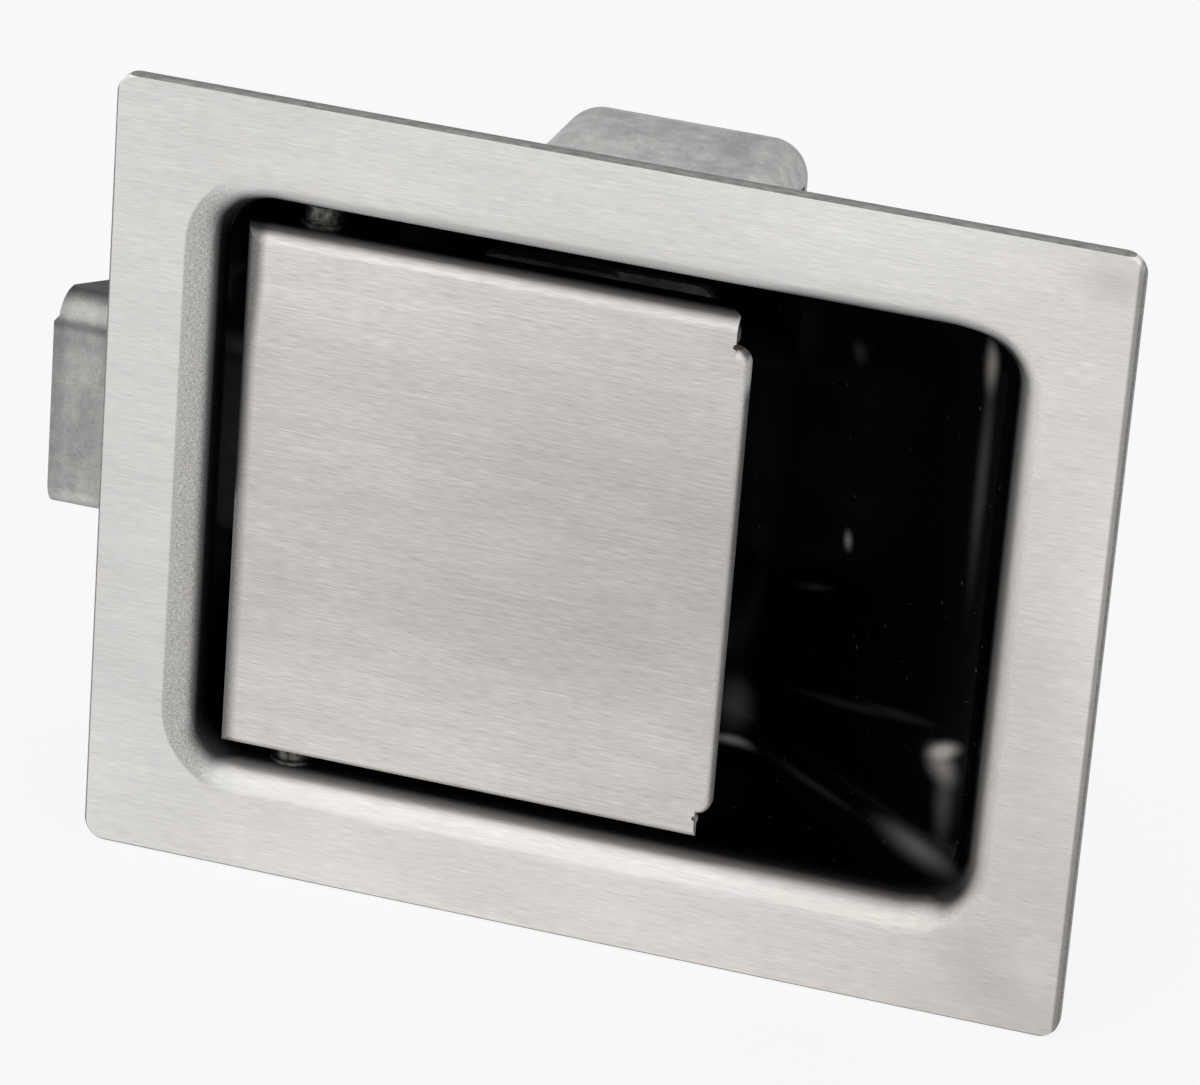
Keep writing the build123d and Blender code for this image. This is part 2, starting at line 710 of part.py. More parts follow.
# ---------------------------------------------------------------- clamp bracket and hardware
def clamp_block(inset):
    """Block inside the bracket's outer faces, its sides spreading towards the front."""
    half_back = clamp_width / 2 - inset
    back_y = clamp_back_y - inset
    front_y = clamp_foot_y - clamp_sheet
    half_front = half_back + clamp_spread * (back_y - front_y)
    outline = Polyline(
        (-half_back, back_y),
        (half_back, back_y),
        (half_front, front_y),
        (-half_front, front_y),
        close=True,
    )
    half = clamp_half_height - inset
    body = Pos(clamp_centre_x, 0, 0) * plan_prism(make_face(outline), -half, half)
    rounded = [e for e in body.edges() if e.center().Y > front_y + near]
    return fillet(rounded, clamp_edge_r - inset)


def clamp_foot(side):
    """Foot bent outwards at one end of the bracket."""
    x0 = clamp_centre_x - clamp_foot_width / 2
    x1 = clamp_centre_x + clamp_foot_width / 2
    root_z = side * (clamp_half_height - clamp_sheet)
    tip_z = side * (clamp_half_height + clamp_foot_reach)
    foot = block(x0, x1, clamp_foot_y, clamp_foot_y + clamp_sheet, root_z, tip_z)
    tips = [e for e in foot.edges().filter_by(Axis.Y) if at_z(e, abs(tip_z))]
    foot = fillet(tips, clamp_foot_corner_r)
    heel = [e for e in foot.edges().filter_by(Axis.X) if at_z(e, abs(root_z)) and at_y(e, clamp_foot_y)]
    return fillet(heel, clamp_heel_r)


def make_clamp_bracket():
    """Drawn strap round the back of the pan; its two feet press on the door skin."""
    shell = clamp_block(0) - clamp_block(clamp_sheet)
    pan_z = pan_wall_z + loose
    wide = clamp_width
    tall = clamp_half_height
    shell -= block(-wide, wide, 0, pan_back_y, -pan_z, pan_z)
    shell -= block(-wide, wide, 0, clamp_foot_y + clamp_sheet / 2, -tall, tall)
    for side in (-1, 1):
        strap_x = clamp_centre_x + side * clamp_foot_width / 2
        shell -= block(side * wide, strap_x, 0, clamp_flange_start_y, -tall, tall)
        shell += clamp_foot(side)
    return shell - rod_y(stud_hole_d / 2, pan_back_y, clamp_back_y + past, clamp_centre_x, 0)


def make_clamp_stud():
    """Stud welded to the pan's back."""
    stud = rod_y(stud_d / 2, pan_back_y, nut_y + nut_height + stud_end, clamp_centre_x, 0)
    stud = chamfer(stud.edges().sort_by(Axis.Y)[-1], stud_chamfer)
    base = rod_y(stud_base_d / 2, pan_back_y, pan_back_y + stud_base, clamp_centre_x, 0)
    return stud + fillet(base.edges().sort_by(Axis.Y)[-1], stud_base * dome)


def make_flat_washer():
    """Wide washer on the bracket's back."""
    bore_r = stud_d / 2 + loose
    washer = ring_y(flat_washer_d, bore_r, clamp_back_y, lock_washer_y, clamp_centre_x, 0)
    return chamfer(washer.edges().sort_by(Axis.Y)[-1:], washer_chamfer)


def make_lock_washer():
    """Split spring washer."""
    ring = ring_y(lock_washer_d, stud_d / 2 + loose, lock_washer_y, nut_y, clamp_centre_x, 0)
    slit = Box(lock_washer_gap, lock_washer_thickness + 2 * past, lock_washer_d)
    slit = Rot(0, 0, lock_washer_slit_deg) * slit
    return ring - Pos(clamp_centre_x, (lock_washer_y + nut_y) / 2, lock_washer_d / 2) * slit


def make_clamp_nut():
    """Hexagon nut with both faces chamfered."""
    nut_end_y = nut_y + nut_height
    hexagon = RegularPolygon(nut_across_flats / 2, 6, major_radius=False)
    nut = place_y(extrude(hexagon, amount=nut_height), clamp_centre_x, nut_y, 0)
    barrel = rod_y(nut_across_flats / sqrt(3), nut_y, nut_end_y, clamp_centre_x, 0)
    nut = nut & chamfer(barrel.edges().filter_by(GeomType.CIRCLE), nut_chamfer)
    return nut - rod_y(stud_d / 2 + running, nut_y - past, nut_end_y + past, clamp_centre_x, 0)


# ---------------------------------------------------------------- gasket
def make_gasket():
    """Flat rubber frame between the flange and the door skin."""
    half_x = flange_width / 2 - gasket_setback
    half_z = flange_height / 2 - gasket_setback
    pad = block(-half_x, half_x, 0, gasket_thickness, -half_z, half_z)
    pad = fillet(pad.edges().filter_by(Axis.Y), flange_corner_r)
    round_pan = sheet + flange_back_fillet_r + loose
    hole_left = -recess_left - round_pan
    hole_right = recess_right + round_pan
    hole_z = recess_half_height + round_pan
    hole = block(hole_left, hole_right, -past, gasket_thickness + past, -hole_z, hole_z)
    hole = fillet(hole.edges().filter_by(Axis.Y), recess_side_r + draw_r)
    return pad - hole


# ---------------------------------------------------------------- all nodes
upper_washer, upper_spacer = pivot_stack(paddle_half_height)
lower_washer, lower_spacer = pivot_stack(-recess_half_height)

nodes = {
    "pan": make_pan(),
    "paddle": make_paddle(),
    "pivot_pin": make_pivot_pin(),
    "pivot_pin_clips": make_pivot_clips(),
    "upper_pivot_washer": upper_washer,
    "upper_pivot_spacer": upper_spacer,
    "lower_pivot_washer": lower_washer,
    "lower_pivot_spacer": lower_spacer,
    "paddle_spring": make_torsion_spring(),
    "throw_bar": make_throw_bar(),
    "throw_bar_clips": make_throw_bar_clips(),
    "slam_bolt": make_slam_bolt(),
    "bolt_stop_bumpers": make_stop_bumpers(),
    "bolt_guide_plate": make_guide_plate(),
    "bolt_guide_bridge": make_guide_bridge(),
    "guide_rivets": make_guide_rivets(),
    "upper_guide_rod": make_guide_rod(1),
    "lower_guide_rod": make_guide_rod(-1),
    "upper_bolt_spring": make_bolt_spring(1),
    "lower_bolt_spring": make_bolt_spring(-1),
    "clamp_bracket": make_clamp_bracket(),
    "clamp_stud": make_clamp_stud(),
    "clamp_flat_washer": make_flat_washer(),
    "clamp_lock_washer": make_lock_washer(),
    "clamp_nut": make_clamp_nut(),
    "flange_gasket": make_gasket(),
}

for node, shape in nodes.items():
    save(shape, node)
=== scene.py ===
import math

import bmesh
import bpy
from bpy.props import FloatProperty, FloatVectorProperty, PointerProperty
from bpy.types import NodeSocket, Operator, Panel, PropertyGroup
from mathutils import Matrix, Vector


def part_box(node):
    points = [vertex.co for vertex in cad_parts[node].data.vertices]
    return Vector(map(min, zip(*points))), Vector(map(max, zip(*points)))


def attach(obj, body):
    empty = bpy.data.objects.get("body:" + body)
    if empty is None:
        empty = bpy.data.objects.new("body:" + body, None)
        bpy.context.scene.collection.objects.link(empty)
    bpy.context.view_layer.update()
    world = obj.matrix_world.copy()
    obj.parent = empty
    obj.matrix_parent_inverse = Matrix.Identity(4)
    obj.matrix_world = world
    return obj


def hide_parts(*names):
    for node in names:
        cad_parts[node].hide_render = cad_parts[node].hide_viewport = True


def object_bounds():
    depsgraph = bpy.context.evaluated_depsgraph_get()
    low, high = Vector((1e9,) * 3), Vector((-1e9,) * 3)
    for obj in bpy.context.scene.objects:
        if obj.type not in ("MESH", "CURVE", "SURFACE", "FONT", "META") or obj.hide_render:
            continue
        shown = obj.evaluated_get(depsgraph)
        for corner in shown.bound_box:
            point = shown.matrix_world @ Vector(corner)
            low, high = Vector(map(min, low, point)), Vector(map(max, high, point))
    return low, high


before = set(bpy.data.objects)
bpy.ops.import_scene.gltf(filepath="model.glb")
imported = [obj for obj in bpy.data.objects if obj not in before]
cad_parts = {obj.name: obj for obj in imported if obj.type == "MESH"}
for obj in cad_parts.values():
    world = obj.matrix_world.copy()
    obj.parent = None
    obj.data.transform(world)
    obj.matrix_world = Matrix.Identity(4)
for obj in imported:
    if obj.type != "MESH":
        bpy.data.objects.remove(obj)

bl_info = {
    "name": "Flush paddle latch looks",
    "version": (1, 0, 0),
    "blender": (4, 5, 0),
    "location": "View3D > Sidebar > Latch",
    "description": "Finishes, stud thread and stage of a flush paddle latch",
    "category": "Object",
}

MM = 0.001
CAD_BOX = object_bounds()

# camera, with its turn about Z, its height angle and its roll in degrees
CAMERA_PLACE = (208.3 * MM, -777.7 * MM, 379.0 * MM)
CAMERA_AZIMUTH = 14.98
CAMERA_ELEVATION = 25.13
CAMERA_ROLL = 4.60
CAMERA_LENS = 199.9

# soft lamps: name, place and side in metres, power in watts
LAMPS = (
    ("key_light", (-0.7, -1.3, 0.9), 2.4, 7.0),
    ("fill_light", (1.2, -1.0, 0.3), 2.0, 3.0),
)
WORLD_LIGHT = 0.6
FLOOR_WHITENESS = 0.85
FLOOR_GAP = 0.02 * MM

# how far the stud's thread reaches down into its welded base
WELD_OVERLAP = 0.3 * MM


# ---------------------------------------------------------------- values
def linear(colour):
    """Turn an sRGB hex colour into the linear RGBA that Blender works in."""
    parts = [int(colour[i : i + 2], 16) / 255 for i in (1, 3, 5)]
    light = [p / 12.92 if p <= 0.04045 else ((p + 0.055) / 1.055) ** 2.4 for p in parts]
    return (*light, 1.0)


def colour_property(name, description, colour):
    return FloatVectorProperty(
        name=name, description=description, subtype="COLOR", size=4, min=0, max=1, default=linear(colour)
    )


def length_property(name, description, millimetres):
    return FloatProperty(
        name=name, description=description, unit="LENGTH", default=millimetres * MM, precision=5
    )


class LatchColours(PropertyGroup):
    flange: colour_property("Flange steel", "Brushed stainless of the flange", "#E2E0DE")
    warm_flange: colour_property("Warm flange steel", "Same steel at its lower right corner", "#E4DFDA")
    paddle: colour_property("Paddle steel", "Brushed stainless of the paddle", "#D2CECB")
    drawn: colour_property("Drawn steel", "Grained steel where the sheet was drawn round a radius", "#BEBCBA")
    fold: colour_property("Bare fold", "Steel on the paddle's folds that the belt missed", "#989694")
    # the recess colours are painted: a near-black painted dark reflection, lighter near the mouth on the
    # lower side, and the grey of painted highlights, which the real dust shares
    recess: colour_property("Recess black", "Painted dark reflection inside the recess", "#020202")
    lighter_painted_dark: colour_property("Lighter painted dark", "Lighter painted dark along the lower side of the recess", "#1F1D1C")
    highlight_and_dust: colour_property("Highlight and dust grey", "Grey of the painted highlights and the dust in the recess", "#B8B4B0")
    cut_edge: colour_property("Cut edge", "Sheared edge of the flange", "#7F7E7C")
    # the sleeves' dark colour is painted shade
    shaded_sleeve: colour_property("Sleeve steel in painted shade", "Sleeves and washers on the pivot pin", "#5C5A57")
    galvanised: colour_property("Galvanised steel", "Dull zinc of the bolt and the clamp", "#A3A3A1")
    plate: colour_property("Zinc plate", "Bright zinc on the pins, rivets and clamp hardware", "#B4B5B6")
    wire: colour_property("Spring wire", "Drawn spring steel", "#6B6B6E")
    rubber: colour_property("Rubber", "Black sheet rubber", "#0D0D0D")
    floor: colour_property("Floor", "Pale floor under the latch", "#F4F4F4")


class LatchSizes(PropertyGroup):
    brush_spacing: length_property("Brush line spacing", "Distance between brush lines", 0.15)
    brush_length: length_property("Brush line length", "Length of a brush line", 26)
    grain: length_property("Drawn grain", "Size of the grain on the drawn radius", 0.21)
    spangle: length_property("Zinc mottle", "Size of a patch on the galvanised steel", 2.2)
    thread_diameter: length_property("Thread diameter", "Outside diameter of the stud's thread", 6.0)
    thread_pitch: length_property("Thread pitch", "Pitch of the stud's thread", 1.0)
    thread_depth: length_property("Thread depth", "Crest to root of the stud's thread", 0.61)
    stud_base: length_property("Stud base", "Thickness of the stud's welded base", 1.0)
    floor_size: length_property("Floor size", "Side of the square floor", 6000)


# ---------------------------------------------------------------- nodes
def add(tree, kind, inputs=None, output=0, **settings):
    """Add a node, set it up, wire it, and return one of its outputs, or the node itself."""
    node = tree.nodes.new("ShaderNode" + kind)
    for name, value in settings.items():
        setattr(node, name, value)
    for name, value in (inputs or {}).items():
        if isinstance(value, NodeSocket):
            tree.links.new(value, node.inputs[name])
        else:
            node.inputs[name].default_value = value
    return node if output is None else node.outputs[output]


def start_material(name):
    """New material with an empty tree; returns it, its tree and the object's coordinates."""
    material = bpy.data.materials.new(name)
    material.use_nodes = True
    tree = material.node_tree
    tree.nodes.clear()
    place = add(tree, "TexCoord", output="Object")
    return material, tree, place


def close_material(tree, colour, roughness, bump, metallic=1.0, **shader):
    """Principled shader and output; anything uniform is set on the shader's own sockets."""
    inputs = {"Base Color": colour, "Roughness": roughness, "Metallic": metallic, "Normal": bump}
    inputs.update({name.replace("_", " "): value for name, value in shader.items()})
    surface = add(tree, "BsdfPrincipled", inputs)
    add(tree, "OutputMaterial", {"Surface": surface}, output=None)


def measure(tree, place):
    """Where a point lies: X, Y, Z, its distance out to the side and in height, and its X-Z place."""
    at = dict(add(tree, "SeparateXYZ", {0: place}, output=None).outputs.items())
    at["side"] = add(tree, "Math", {0: at["X"]}, operation="ABSOLUTE")
    at["height"] = add(tree, "Math", {0: at["Z"]}, operation="ABSOLUTE")
    at["face"] = add(tree, "CombineXYZ", {"X": at["X"], "Y": at["Z"]})
    return at


def zone(tree, at, **limits):
    """Share of a zone, from 0 outside it to 1 inside.

    Each pair of places along a direction, in millimetres, is one soft ramp from 0 to 1, and
    the zone lies where all its ramps meet.
    """
    share = 1.0
    for direction, places in limits.items():
        for start, end in zip(places[::2], places[1::2]):
            reach = {"Value": at[direction], "From Min": start * MM, "From Max": end * MM}
            ramp = add(tree, "MapRange", reach, interpolation_type="SMOOTHSTEP")
            share = add(tree, "Math", {0: share, 1: ramp}, operation="MULTIPLY")
    return share


def grain(tree, place, size, detail=3.0, stretch=(1, 1, 1), offset=(0, 0, 0)):
    """Mottle whose patches have a real size, longer along an axis where stretched."""
    scale = [1 / (size * s) for s in stretch]
    moved = add(tree, "Mapping", {"Vector": place, "Scale": scale, "Location": offset})
    return add(tree, "TexNoise", {"Vector": moved, "Scale": 1.0, "Detail": detail})


def flecks(tree, place, size, detail, limits, stretch=(1, 1, 1), offset=(0, 0, 0)):
    """Scattered flecks: only the brightest patches of a mottle, with soft edges."""
    mottle = grain(tree, place, size, detail, stretch, offset)
    reach = {"Value": mottle, "From Min": limits[0], "From Max": limits[1]}
    return add(tree, "MapRange", reach, interpolation_type="SMOOTHSTEP")


def shade(tree, colour, *tones):
    """Colour made darker and lighter by values from 0 to 1, each with its low and high share."""
    for value, low, high in tones:
        tone = add(tree, "MapRange", {"Value": value, "To Min": low, "To Max": high}, clamp=False)
        base = colour if isinstance(colour, NodeSocket) else colour[:3]
        colour = add(tree, "VectorMath", {0: base, "Scale": tone}, operation="SCALE")
    return colour


def brush_marks(tree, place, sizes, seed):
    """Lines of a belt sander along X: hair lines over longer ones, and a few bright scratches.

    The real hair lines are finer; they are drawn as coarse as they need to be to show.
    """
    spacing = sizes.brush_spacing
    length = sizes.brush_length / spacing
    lines = 0.0
    for width, detail, stretch, offset, weight in (
        (spacing, 0.0, length / 12, (seed, 0, 0), 0.45),
        (spacing * 1.3, 1.0, length / 3, (0, seed, 0), 0.35),
        (spacing * 12, 2.0, length / 40, (0, 0, seed), 0.2),
    ):
        marks = grain(tree, place, width, detail, (stretch, 1, 1), offset)
        lines = add(tree, "Math", {0: marks, 1: weight, 2: lines}, operation="MULTIPLY_ADD")
    bright = flecks(tree, place, spacing, 0.0, (0.74, 0.84), (length / 2, 1, 1), (seed, seed, 0))
    return lines, bright


def soft_mark(tree, at, centre, reach, turn=0.0):
    """Soft oval on the X-Z plane: 1 at its centre, 0 at its reach along and across its turn."""
    oval = {
        "Vector": at["face"],
        "Location": (centre[0] * MM, centre[1] * MM, 0),
        "Rotation": (0, 0, math.radians(turn)),
        "Scale": (reach[0] * MM, reach[1] * MM, 1),
    }
    laid = add(tree, "Mapping", oval, vector_type="TEXTURE")
    away = add(tree, "VectorMath", {0: laid}, output="Value", operation="LENGTH")
    near = {"Value": away, "From Min": 1.0, "From Max": 0.0}
    near = add(tree, "MapRange", near, interpolation_type="SMOOTHSTEP")
    return add(tree, "Math", {0: near, 1: 1.6}, operation="POWER")


# ---------------------------------------------------------------- materials
def brushed_pan_steel(colours, sizes):
    """Brushed stainless flange round a recess painted near black, as a painted dark reflection.

    Hair lines along the flange give it a soft sheen, and soft patches of painted shade and
    painted highlight lie over it. The radius where the sheet was drawn in is dull and grained
    on the left, where the belt did not reach. The painted dark starts on the radius and fades
    to bare steel; painted highlights lie along the folds at the ramp.
    """
    material, tree, place = start_material("brushed_stainless_pan")
    at = measure(tree, place)
    lines, bright = brush_marks(tree, place, sizes, 3.1)
    low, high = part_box("pan")
    front, right_edge, top_edge = low.y / MM, high.x / MM, high.z / MM

    # the flange's steel is warmer towards its lower right corner, and its tone drifts
    at["warm_way"] = add(tree, "Math", {0: at["X"], 1: at["Z"]}, operation="SUBTRACT")
    warm = {0: zone(tree, at, warm_way=(-20, 90)), 6: colours.flange, 7: colours.warm_flange}
    steel = add(tree, "Mix", warm, output=2, data_type="RGBA")
    drift = grain(tree, place, 28 * MM, 2.0, (1.6, 1, 1))
    steel = shade(tree, steel, (lines, 0.70, 1.30), (drift, 0.88, 1.12), (bright, 1.0, 1.1))
    # soft patches of painted shade and painted highlight: darker towards the lower right corner, at the upper
    # right and beside the recess's right side, lighter above the recess, and a dark and light pair near the
    # lower right corner
    for centre, reach, turn, tone in (
        ((78, -62), (74, 74), 0, 0.72),
        ((38, 60), (50, 26), 0, 1.09),
        ((66, 53), (9, 6), 0, 0.84),
        ((58, -49), (17, 8), -40, 0.90),
        ((66, -46), (6, 9), 0, 1.07),
        ((60, -4), (18, 44), 0, 0.84),
    ):
        steel = shade(tree, steel, (soft_mark(tree, at, centre, reach, turn), 1.0, tone))

    # dull grained steel on the left part of the radius, and painted shade on the lower part
    pores = grain(tree, place, sizes.grain, 3.0)
    drawn = shade(tree, colours.drawn, (pores, 0.1, 1.9))
    left_radius = zone(tree, at, Y=(front + 0.001, front + 0.03), X=(-50.5, -54.5), Z=(45.5, 40.5))
    steel = add(tree, "Mix", {0: left_radius, 6: steel, 7: drawn}, output=2, data_type="RGBA")
    lower_radius_shade = zone(tree, at, Y=(front + 0.02, front + 0.5), Z=(-38, -42))
    steel = shade(tree, steel, (lower_radius_shade, 1.0, 0.86))

    # depths in millimetres where the painted dark reflection starts and where it is full, side
    # by side round the recess, and the share of it that comes in slowly
    depths = (-2.1, 1.0, 0.0)
    for limits, side_depths in (
        ({"X": (5, 46)}, (-2.6, 0.9, 0.05)),
        ({"Z": (33, 40)}, (-1.2, 2.0, 0.0)),
        ({"Z": (33, 40), "X": (8, 28)}, (-2.9, -0.25, 0.12)),
        ({"Z": (33, 40), "X": (-34, -48)}, (-2.5, 0.3, 0.0)),
        ({"X": (-50.5, -54.5)}, (-2.05, -0.25, 0.03)),
        ({"X": (50, 54)}, (-3.2, -0.6, 0.32)),
        ({"X": (49, 53.5), "height": (35, 39.5)}, (-2.9, -1.1, 0.06)),
        ({"X": (-48, -52.5), "height": (35, 39.5)}, (-2.9, -1.1, 0.06)),
    ):
        step = {0: zone(tree, at, **limits), 4: depths, 5: side_depths}
        depths = add(tree, "Mix", step, output=1, data_type="VECTOR")
    depths = add(tree, "SeparateXYZ", {0: depths}, output=None).outputs
    depth = add(tree, "Math", {0: at["Y"], 1: 1 / MM}, operation="MULTIPLY")
    quick = {"Value": depth, "From Min": depths["X"], "From Max": depths["Y"]}
    quick = add(tree, "MapRange", quick, interpolation_type="SMOOTHSTEP")
    black = add(tree, "Mix", {0: depths["Z"], 2: quick, 3: zone(tree, at, Y=(-2.5, 2.6))})

    # faces of the recess look towards its middle, and those behind the sheet look away
    normal = add(tree, "NewGeometry", output="Normal")
    outwards = add(tree, "VectorMath", {0: place, 1: (0, 10 * MM, 0)}, operation="SUBTRACT")
    facing = {0: outwards, 1: normal}
    at["facing"] = add(tree, "VectorMath", facing, output="Value", operation="DOT_PRODUCT")
    black = add(tree, "Math", {0: black, 1: zone(tree, at, facing=(0, -6))}, operation="MULTIPLY")

    # along the lower side near the mouth, down to 4 mm deep, the painted dark is lighter
    full_painted_dark = {0: zone(tree, at, Y=(-1, 4)), 1: zone(tree, at, Z=(-42, -38))}
    full_painted_dark = add(tree, "Math", full_painted_dark, operation="MAXIMUM")
    coat = {0: full_painted_dark, 6: colours.lighter_painted_dark, 7: colours.recess}
    paint = add(tree, "Mix", coat, output=2, data_type="RGBA")

    # painted highlights along the folds round the ramp and in small spots on it, and dust
    highlight_and_dust = 0.0
    for centre, reach, turn, share in (
        ((48.2, -22.9), (5.0, 1.9), 38, 1.0),
        ((48.0, -25.2), (4.4, 4.4), 0, 0.55),
        ((49.0, -30.0), (3.0, 10.0), 0, 0.14),
        ((40.0, -22.0), (12.0, 1.4), 16, 0.03),
        ((30.0, -25.8), (16.0, 1.2), 17, 0.04),
        ((49.3, 34.5), (1.9, 6.5), 0, 0.5),
        ((49.6, 19.0), (1.8, 27.0), 0, 0.10),
        ((13.4, -39.4), (5.6, 0.9), 3, 1.0),
        ((27.0, -38.9), (14.0, 0.8), 0, 0.06),
        ((45.5, -38.3), (11.0, 2.4), 0, 0.28),
        ((13.0, -34.5), (4.8, 6.5), 0, 0.26),
        ((29.0, -1.8), (1.3, 2.5), 0, 0.6),
        ((27.9, 25.6), (2.4, 3.0), 0, 0.08),
        ((24.0, -11.5), (6.0, 1.0), 25, 0.06),
    ):
        mark = soft_mark(tree, at, centre, reach, turn)
        highlight_and_dust = add(tree, "Math", {0: mark, 1: share, 2: highlight_and_dust}, operation="MULTIPLY_ADD")
    dust = flecks(tree, place, 0.55 * MM, 0.0, (0.83, 0.87), offset=(3, 8, 5))
    dust = add(tree, "Math", {0: dust, 1: 0.10}, operation="MULTIPLY")
    for share in (highlight_and_dust, dust):
        paint = add(tree, "Mix", {0: share, 6: paint, 7: colours.highlight_and_dust}, output=2, data_type="RGBA")

    # outside of the drawn pan, painted shade on the flange's right edge, and the sheet's sheared edge
    behind = zone(tree, at, Y=(front + 1.4, front + 1.7), facing=(-6, 0))
    mill = shade(tree, colours.drawn, (grain(tree, place, 1.5 * MM, 4.0), 0.7, 1.5))
    right_edge_shade = zone(tree, at, X=(right_edge - 1.1, right_edge - 0.6))
    ends = zone(tree, at, side=(right_edge - 0.3, right_edge - 0.2))
    tops = zone(tree, at, height=(top_edge - 0.36, top_edge - 0.3))
    edge = add(tree, "Math", {0: tops, 1: ends}, operation="MAXIMUM")
    shear_lines = grain(tree, place, 0.5 * MM, 3.0, (3, 1, 1))
    sheared = shade(tree, colours.cut_edge, (shear_lines, 0.35, 1.65))
    colour = add(tree, "Mix", {0: black, 6: steel, 7: paint}, output=2, data_type="RGBA")
    colour = add(tree, "Mix", {0: behind, 6: colour, 7: mill}, output=2, data_type="RGBA")
    colour = shade(tree, colour, (right_edge_shade, 1.0, 0.45))
    colour = add(tree, "Mix", {0: edge, 6: colour, 7: sheared}, output=2, data_type="RGBA")

    # the radius under the flange's top was left dull, so it scatters light like paint
    dull = zone(tree, at, Z=(33, 40), Y=(-2.7, -2.0))
    dull = add(tree, "Math", {0: dull, 1: 0.9}, operation="MULTIPLY")
    unpolished = add(tree, "Math", {0: black, 1: dull}, operation="MAXIMUM")
    metal = add(tree, "Math", {0: 1.0, 1: unpolished}, operation="SUBTRACT")
    rough = add(tree, "MapRange", {"Value": lines, "To Min": 0.32, "To Max": 0.46})
    rough = add(tree, "Mix", {0: black, 2: rough, 3: 0.25})
    bump = add(tree, "Bump", {"Height": lines, "Strength": 0.12, "Distance": 0.05 * MM})
    close_material(tree, colour, rough, bump, metal, Anisotropic=0.5, Specular_IOR_Level=0.12)
    return material


def brushed_paddle_steel(colours, sizes):
    """Brushed stainless plate, warmer than the flange, its folds dull and darker.

    The top fold carries painted dark reflection and the back painted shade; the left fold and
    the grip edge are bare and grey, and the grip edge has a bright spot near its top.
    """
    material, tree, place = start_material("brushed_stainless_paddle")
    at = measure(tree, place)
    lines, bright = brush_marks(tree, place, sizes, 8.7)
    low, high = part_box("paddle")
    front, left_end, right_end = low.y / MM, low.x / MM, high.x / MM
    drift = grain(tree, place, 18 * MM, 2.0, (2.2, 1, 1), (4, 0, 0))
    steel = shade(
        tree,
        colours.paddle,
        (lines, 0.55, 1.45),
        (drift, 0.86, 1.14),
        (bright, 1.0, 1.18),
        (zone(tree, at, height=(6, 36)), 0.93, 1.09),
        (zone(tree, at, X=(-50, 18)), 1.05, 0.92),
    )

    # bare grained steel on the left fold, which widens towards its top, and on the grip edge
    pores = grain(tree, place, sizes.grain, 3.0)
    bare = shade(tree, colours.fold, (pores, 0.2, 1.8), (zone(tree, at, Z=(-5, 15)), 1.0, 0.7))
    widening = {0: zone(tree, at, Z=(18, 33)), 1: -0.7 * MM, 2: at["X"]}
    at["fold_way"] = add(tree, "Math", widening, operation="MULTIPLY_ADD")
    left_fold = zone(tree, at, fold_way=(left_end + 2.8, left_end + 1.0))
    grip = zone(tree, at, X=(right_end - 1.5, right_end - 0.9), Y=(front + 0.01, front + 0.9))
    folds = add(tree, "Math", {0: left_fold, 1: grip}, operation="MAXIMUM")
    steel = add(tree, "Mix", {0: folds, 6: steel, 7: bare}, output=2, data_type="RGBA")
    # a bright spot near the top of the grip edge, in the flange's colour
    grip_bright_spot = zone(tree, at, Z=(26.5, 30), X=(right_end - 0.5, right_end - 0.1))
    steel = add(tree, "Mix", {0: grip_bright_spot, 6: steel, 7: colours.flange}, output=2, data_type="RGBA")

    # painted dark reflection on the top fold, at once in part and slowly in part, none on the lower
    # one, and painted shade on all that lies over 5 mm behind the face
    quick = {"Value": at["Y"], "From Min": front * MM, "From Max": (front + 1.1) * MM}
    quick = add(tree, "MapRange", quick)
    black = add(tree, "Mix", {0: 0.3, 2: quick, 3: zone(tree, at, Y=(front, front + 3.2))})
    upper = zone(tree, at, X=(right_end - 1.2, right_end - 2.4), Z=(-2, 2))
    black = add(tree, "Math", {0: black, 1: upper}, operation="MULTIPLY")
    deep = zone(tree, at, Y=(front + 2.4, front + 5.0))
    black = add(tree, "Math", {0: black, 1: deep}, operation="MAXIMUM")
    colour = add(tree, "Mix", {0: black, 6: steel, 7: colours.recess}, output=2, data_type="RGBA")

    # folds that the belt missed are dull and scatter light like paint
    lower_fold = zone(tree, at, Z=(2, -2), Y=(front + 0.3, front + 1.0))
    dull = add(tree, "Math", {0: grip, 1: lower_fold}, operation="MAXIMUM")
    dull = add(tree, "Math", {0: dull, 1: 0.9}, operation="MULTIPLY")
    unpolished = add(tree, "Math", {0: black, 1: dull}, operation="MAXIMUM")
    metal = add(tree, "Math", {0: 1.0, 1: unpolished}, operation="SUBTRACT")
    rough = add(tree, "MapRange", {"Value": lines, "To Min": 0.32, "To Max": 0.48})
    rough = add(tree, "Mix", {0: black, 2: rough, 3: 0.3})
    bump = add(tree, "Bump", {"Height": lines, "Strength": 0.15, "Distance": 0.05 * MM})
    close_material(tree, colour, rough, bump, metal, Anisotropic=0.5, Specular_IOR_Level=0.12)
    return material


